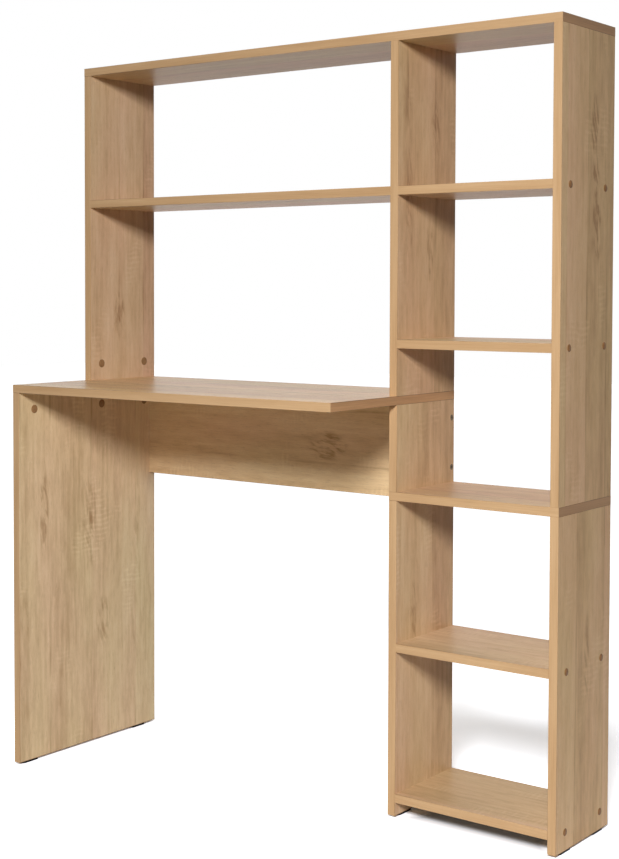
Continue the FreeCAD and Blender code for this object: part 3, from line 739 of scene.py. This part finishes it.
def turned(profile, sides=ROUND_SIDES):
    """A closed solid turned about Z from (radius, height) points, from the top to the base."""
    solid = bmesh.new()
    rings = []
    for radius, height in profile:
        if radius == 0:
            rings.append([solid.verts.new((0, 0, height))])
            continue
        rings.append([
            solid.verts.new((
                radius * math.cos(math.tau * i / sides), radius * math.sin(math.tau * i / sides), height
            ))
            for i in range(sides)
        ])
    for upper, lower in zip(rings, rings[1:]):
        for i in range(sides):
            j = (i + 1) % sides
            loop = []
            for ring, k in ((upper, i), (lower, i), (lower, j), (upper, j)):
                vertex = ring[k % len(ring)]
                if vertex not in loop:
                    loop.append(vertex)
            solid.faces.new(loop)
    bmesh.ops.recalc_face_normals(solid, faces=solid.faces)
    for face in solid.faces:
        face.smooth = True
    return solid


def disc_place(solid):
    """Where a disc's base is, and the way that its bevelled face looks."""
    low, high = corners(solid)
    size = high - low
    axis = min(range(3), key=lambda i: size[i])
    middle = (low + high) / 2

    def reach(level):
        return max(
            (vertex.co - middle).length for vertex in solid.verts if abs(vertex.co[axis] - level) < SAME
        )

    outward = Vector((0, 0, 0))
    base = middle.copy()
    if reach(low[axis]) > reach(high[axis]):
        outward[axis] = 1
        base[axis] = low[axis]
    else:
        outward[axis] = -1
        base[axis] = high[axis]
    return base, outward


def make_discs(name, node, profile, material):
    """One piece of all a node's discs, each turned from the profile and set on its board."""
    joined = bmesh.new()
    for solid in islands(node):
        base, outward = disc_place(solid)
        solid.free()
        disc = turned(profile)
        turn = outward.to_track_quat("Z", "Y").to_matrix().to_4x4()
        disc.transform(Matrix.Translation(base) @ turn)
        join(joined, disc)
    new_piece(name, joined, [material], node)


# Profiles from the middle of the face to the rim and back under it, as radius and height.
CAP_PROFILE = [
    (0, 1.6 * MM),
    (2.2 * MM, 1.55 * MM),
    (4.0 * MM, 1.35 * MM),
    (5.3 * MM, 1.0 * MM),
    (6.1 * MM, 0.6 * MM),
    (6.45 * MM, 0.25 * MM),
    (6.5 * MM, 0),
    (0, 0),
]
COVER_PROFILE = [
    (0, 0.75 * MM),
    (5.5 * MM, 0.8 * MM),
    (7.4 * MM, 0.75 * MM),
    (8.1 * MM, 0.55 * MM),
    (8.45 * MM, 0.25 * MM),
    (8.5 * MM, 0),
    (0, 0),
]
# A screw from the rim of its head's face down to its point.
SCREW_PROFILE = [
    (5.3 * MM, 0.15 * MM),
    (5.5 * MM, 0.1 * MM),
    (5.6 * MM, 0.0),
    (4.2 * MM, -0.2 * MM),
    (4.2 * MM, -2.9 * MM),
    (3.3 * MM, -3.3 * MM),
    (3.3 * MM, -15.8 * MM),
    (2.4 * MM, -16.2 * MM),
    (2.4 * MM, -46 * MM),
    (0.8 * MM, -49.5 * MM),
    (0, -49.9 * MM),
]
# Rings of the socket, from its rim to its bottom: from the middle to a flat, and the height.
SOCKET_RINGS = [(2.3 * MM, 0.15 * MM), (2.0 * MM, -0.1 * MM), (2.0 * MM, -2.2 * MM)]


def hexagon_ring(flats, height):
    """Points round a hexagon, given the distance from its middle to a flat."""
    points = []
    for i in range(ROUND_SIDES):
        angle = math.tau * i / ROUND_SIDES
        from_flat = (angle + math.pi / 6) % (math.pi / 3) - math.pi / 6
        reach = flats / math.cos(from_flat)
        points.append((reach * math.cos(angle), reach * math.sin(angle), height))
    return points


def screw_with_socket():
    """A flat head with a six-sided socket, on a plain barrel. Its outer face looks along +Z."""
    solid = turned(SCREW_PROFILE)
    face = SCREW_PROFILE[0][1] - SAME
    rim = [vertex for vertex in solid.verts if vertex.co.z > face]
    outer = sorted(rim, key=lambda vertex: math.atan2(vertex.co.y, vertex.co.x) % math.tau)
    for flats, height in SOCKET_RINGS:
        inner = [solid.verts.new(point) for point in hexagon_ring(flats, height)]
        for i in range(ROUND_SIDES):
            j = (i + 1) % ROUND_SIDES
            solid.faces.new([outer[i], outer[j], inner[j], inner[i]])
        outer = inner
    solid.faces.new(outer)
    bmesh.ops.recalc_face_normals(solid, faces=solid.faces)
    return solid


def unit(axis):
    vector = Vector((0, 0, 0))
    vector[axis] = 1
    return vector


def width_at(solid, axis, middle, level):
    """How far a solid reaches from its axis, at one of its ends."""
    ends = [vertex for vertex in solid.verts if abs(vertex.co[axis] - level) < SAME]
    return max((vertex.co - middle).cross(unit(axis)).length for vertex in ends)


def make_screws(material):
    """Every screw, its head seated on the board face that the solid screw's head is flush with."""
    joined = bmesh.new()
    for solid in islands("confirmat_screws"):
        low, high = corners(solid)
        axis = max(range(3), key=lambda i: (high - low)[i])
        middle = (low + high) / 2
        head_high = width_at(solid, axis, middle, high[axis]) > width_at(solid, axis, middle, low[axis])
        solid.free()
        outward = unit(axis) if head_high else -unit(axis)
        seat = middle.copy()
        seat[axis] = high[axis] if head_high else low[axis]
        screw = screw_with_socket()
        screw.transform(Matrix.Translation(seat) @ outward.to_track_quat("Z", "Y").to_matrix().to_4x4())
        join(joined, screw)
    new_piece("socket_screws", joined, [material], "confirmat_screws")


GLIDE_HEIGHT = 4 * MM
GLIDE_CORNER = 5 * MM
GLIDE_EDGE = 0.4 * MM
PEG_TOP = 3.2 * MM
PEG_FOOT = 3.4 * MM


def make_glides(material):
    """A rounded foot and its peg in place of each glide."""
    joined = bmesh.new()
    for solid in islands("glides"):
        low, high = corners(solid)
        solid.free()
        width, length = high.x - low.x, high.y - low.y
        foot = rounded_bar(width, length, GLIDE_CORNER, GLIDE_HEIGHT, GLIDE_EDGE)
        middle = Vector(((low.x + high.x) / 2, (low.y + high.y) / 2, low.z))
        foot.transform(Matrix.Translation(middle))
        foot_top = low.z + GLIDE_HEIGHT
        peg_length = high.z - foot_top
        peg = turned([(0, peg_length), (PEG_TOP, peg_length), (PEG_FOOT, 0), (0, 0)], PEG_SIDES)
        peg.transform(Matrix.Translation((middle.x, middle.y, foot_top)))
        join(joined, foot)
        join(joined, peg)
    new_piece("glide_feet", joined, [material], "glides")


def rounded_bar(width, length, corner, height, edge, steps=6):
    """A flat bar with round corners and a rounded lower edge, standing on z = 0."""
    def ring(inset, level):
        points = []
        radius = corner - inset
        for x_sign, y_sign, start in ((1, 1, 0), (-1, 1, 90), (-1, -1, 180), (1, -1, 270)):
            for step in range(steps + 1):
                angle = math.radians(start + 90 * step / steps)
                points.append(Vector((
                    x_sign * (width / 2 - corner) + radius * math.cos(angle),
                    y_sign * (length / 2 - corner) + radius * math.sin(angle),
                    level,
                )))
        return points

    solid = bmesh.new()
    halfway = edge * 0.3  # a quarter round's inset and height at 45 degrees
    levels = [(edge, 0), (halfway, halfway), (0, edge), (0, height)]
    rings = [[solid.verts.new(point) for point in ring(*level)] for level in levels]
    for lower, upper in zip(rings, rings[1:]):
        for i in range(len(lower)):
            j = (i + 1) % len(lower)
            solid.faces.new([lower[i], lower[j], upper[j], upper[i]])
    solid.faces.new(rings[0][::-1])
    solid.faces.new(rings[-1])
    return solid


# ---------------------------------------------------------------- dressing the frame
BOARDS = sorted(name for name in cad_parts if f"{name}_edging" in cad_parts)
# Boards that take another stretch of the print than their place in the list gives.
SEED_SHIFT = {"left_upright": 70, "modesty_panel": 30, "tower_right_lower": 60}


def dress(node, material):
    """A CAD node keeps its shape and gets a material."""
    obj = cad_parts[node]
    obj.data.materials.clear()
    obj.data.materials.append(material)


def dress_boards():
    for number, board in enumerate(BOARDS, start=1):
        seed = number + SEED_SHIFT.get(board, 0)
        grain = GRAIN_OF_THIN[thin_axis(board)]
        dress(board, oak_material(board, grain, seed))
        make_edging(board, seed)


# A plastic's texture is the size of its grains and how deep they are.
CAP_LIGHT = srgb(148, 107, 68)
CAP_DARK = srgb(124, 88, 55)
CAP_ROUGHNESS = 0.45
CAP_TEXTURE = (0.6 * MM, 0.02 * MM)
COVER_LIGHT = srgb(156, 120, 84)
COVER_DARK = srgb(134, 102, 70)
COVER_ROUGHNESS = 0.5
GLIDE_LIGHT = srgb(22, 20, 18)
GLIDE_DARK = srgb(13, 12, 11)
GLIDE_ROUGHNESS = 0.6
GLIDE_TEXTURE = (0.5 * MM, 0.03 * MM)
HEAD_LIGHT = srgb(120, 102, 80)
HEAD_DARK = srgb(88, 74, 58)
HEAD_ROUGHNESS = 0.45
ZINC_LIGHT = srgb(190, 190, 186)
ZINC_DARK = srgb(160, 160, 158)
ZINC_ROUGHNESS = 0.35
CAST_LIGHT = srgb(165, 165, 165)
CAST_DARK = srgb(135, 135, 136)
CAST_ROUGHNESS = 0.5
BEECH_LIGHT = srgb(214, 182, 140)
BEECH_DARK = srgb(186, 150, 108)
BEECH_SEED = 40


def dress_fittings():
    """The fittings' materials, and new meshes for those that show."""
    brown = moulded_plastic("brown_caps", CAP_LIGHT, CAP_DARK, CAP_ROUGHNESS, CAP_TEXTURE)
    cover_brown = moulded_plastic("cover_brown", COVER_LIGHT, COVER_DARK, COVER_ROUGHNESS, CAP_TEXTURE)
    black = moulded_plastic("black_glides", GLIDE_LIGHT, GLIDE_DARK, GLIDE_ROUGHNESS, GLIDE_TEXTURE)
    zinc = plated_metal("zinc_steel", ZINC_LIGHT, ZINC_DARK, ZINC_ROUGHNESS)
    cast = plated_metal("zinc_casting", CAST_LIGHT, CAST_DARK, CAST_ROUGHNESS)
    dark_zinc = plated_metal("dark_zinc", HEAD_LIGHT, HEAD_DARK, HEAD_ROUGHNESS)
    beech = edge_material("beech", "Z", BEECH_SEED, BEECH_LIGHT, BEECH_DARK)
    make_discs("screw_covers", "screw_caps", CAP_PROFILE, brown)
    make_discs("cam_covers", "cam_caps", COVER_PROFILE, cover_brown)
    make_glides(black)
    make_screws(dark_zinc)
    for node in ("double_bolts", "single_bolts"):
        dress(node, zinc)
    dress("cam_locks", cast)
    dress("dowels", beech)


# ---------------------------------------------------------------- the floor
FLOOR_REACH = 12
FLOOR_ROUGHNESS = 0.9
# The floor's own grey is dark, so that little light comes back from far off. Beside the foot it is lighter.
FLOOR_DARK = 0.10
FLOOR_LIGHT = 0.12
FOOT_BOUNCE = 5.2
FOOT_NEAR = 0.1
FOOT_FAR = 0.7
# Where the floor is seen, it is lifted to white. Its glow is least round a place behind the tower, where
# the desk's shadow falls, and full from FLOOR_FAR on.
FLOOR_LIFT = (1.60, 1.68, 1.84)
FLOOR_GLOW = 0.5
FLOOR_SHADE_AT = (0.35, 0.25)
FLOOR_NEAR = 0.4
FLOOR_FAR = 0.95
FLOOR_CONTACT = 0.06  # painted contact shade: anything this near takes the glow away
CONTACT_POWER = 2
TOE_INSET = 0.05  # painted shadow: the floor under the base shelf darkens over this width
TOE_SHADE = 0.25


def past_sides(graph, x, y, low, high):
    """How far a floor point lies past a box's sides, along X and along Y. Inside it is below 0."""
    past = []
    for value, start, end in ((x, low[0], high[0]), (y, low[1], high[1])):
        from_middle = graph.math("ABSOLUTE", graph.math("SUBTRACT", value, (start + end) / 2))
        past.append(graph.math("SUBTRACT", from_middle, (end - start) / 2))
    return past


def outside(graph, x, y, low, high):
    """How far a floor point lies outside a box's nearest side. Inside it is below 0."""
    return graph.math("MAXIMUM", *past_sides(graph, x, y, low, high))


def length_of(graph, x, y):
    """The length of a flat vector."""
    return graph.math("SQRT", graph.math("MULTIPLY_ADD", x, x, graph.math("MULTIPLY", y, y)))


def beside(graph, x, y):
    """How far a floor point lies outside the part's footprint."""
    off = [graph.math("MAXIMUM", value, 0.0) for value in past_sides(graph, x, y, *cad_box)]
    return length_of(graph, *off)


def grey_scaled(graph, colour, factor):
    """A colour times a factor."""
    return graph.mix(1.0, colour, graph.vector(factor, factor, factor), "MULTIPLY")


def floor_colour(graph, x, y, z):
    """The floor's own colour, by which it sends light back on to the desk."""
    cloud = graph.noise(graph.stretched((x, y, z), (FLOOR_CLOUDS,) * 3), detail=3)
    grey = graph.ramp(cloud, (0.2, FLOOR_DARK), (0.8, FLOOR_LIGHT))
    near = graph.math("SUBTRACT", 1.0, graph.spread(beside(graph, x, y), FOOT_NEAR, FOOT_FAR))
    return grey_scaled(graph, grey, graph.math("MULTIPLY_ADD", near, FOOT_BOUNCE, 1.0))


def seen_floor(graph, x, y):
    """The floor as it is seen, by the camera or in a reflection: lifted to white, with its shadows kept, and
    a painted shadow under the base shelf.
    """
    # A painted shadow on the floor under the base shelf.
    under = graph.spread(outside(graph, x, y, *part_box("tower_base_shelf")), -TOE_INSET, 0.0)
    under = graph.math("MULTIPLY_ADD", under, 1.0 - TOE_SHADE, TOE_SHADE)
    bright = graph.add("ShaderNodeBsdfDiffuse")
    graph.feed(bright.inputs["Color"], grey_scaled(graph, FLOOR_LIFT, under))
    x_off, y_off = (graph.math("SUBTRACT", value, middle) for value, middle in zip((x, y), FLOOR_SHADE_AT))
    far = graph.spread(length_of(graph, x_off, y_off), FLOOR_NEAR, FLOOR_FAR)
    lift = graph.math("MULTIPLY_ADD", far, 1.0 - FLOOR_GLOW, FLOOR_GLOW)
    open_sky = graph.add("ShaderNodeAmbientOcclusion")
    open_sky.inputs["Distance"].default_value = FLOOR_CONTACT
    contact_shade = graph.math("POWER", open_sky.outputs["AO"], CONTACT_POWER)
    glow = graph.add("ShaderNodeEmission")
    graph.feed(glow.inputs["Strength"], graph.math("MULTIPLY", lift, contact_shade))
    lifted = graph.add("ShaderNodeAddShader")
    graph.links.new(bright.outputs[0], lifted.inputs[0])
    graph.links.new(glow.outputs[0], lifted.inputs[1])
    return lifted.outputs[0]


def floor_material():
    """A matt floor for the light that falls on it, and a white one with shadows where it is seen."""
    graph = Graph("studio_floor")
    x, y, z = graph.object_point()
    graph.feed(graph.shader.inputs["Base Color"], floor_colour(graph, x, y, z))
    graph.shader.inputs["Roughness"].default_value = FLOOR_ROUGHNESS
    graph.shader.inputs["Specular IOR Level"].default_value = 0.0
    choose = graph.add("ShaderNodeMixShader")
    graph.links.new(seen_ray(graph.nodes, graph.links), choose.inputs[0])
    graph.links.new(graph.shader.outputs[0], choose.inputs[1])
    graph.links.new(seen_floor(graph, x, y), choose.inputs[2])
    graph.links.new(choose.outputs[0], graph.output.inputs[0])
    return graph.material


def make_floor():
    mesh = bpy.data.meshes.new("studio_floor")
    signs = ((-1, -1), (1, -1), (1, 1), (-1, 1))
    mesh.from_pydata([(x * FLOOR_REACH, y * FLOOR_REACH, 0) for x, y in signs], [], [(0, 1, 2, 3)])
    mesh.materials.append(floor_material())
    floor = bpy.data.objects.new("studio_floor", mesh)
    bpy.context.scene.collection.objects.link(floor)


bpy.context.scene.view_settings.view_transform = "Standard"
make_camera()
make_world()
make_lights()
make_floor()
dress_boards()
dress_fittings()
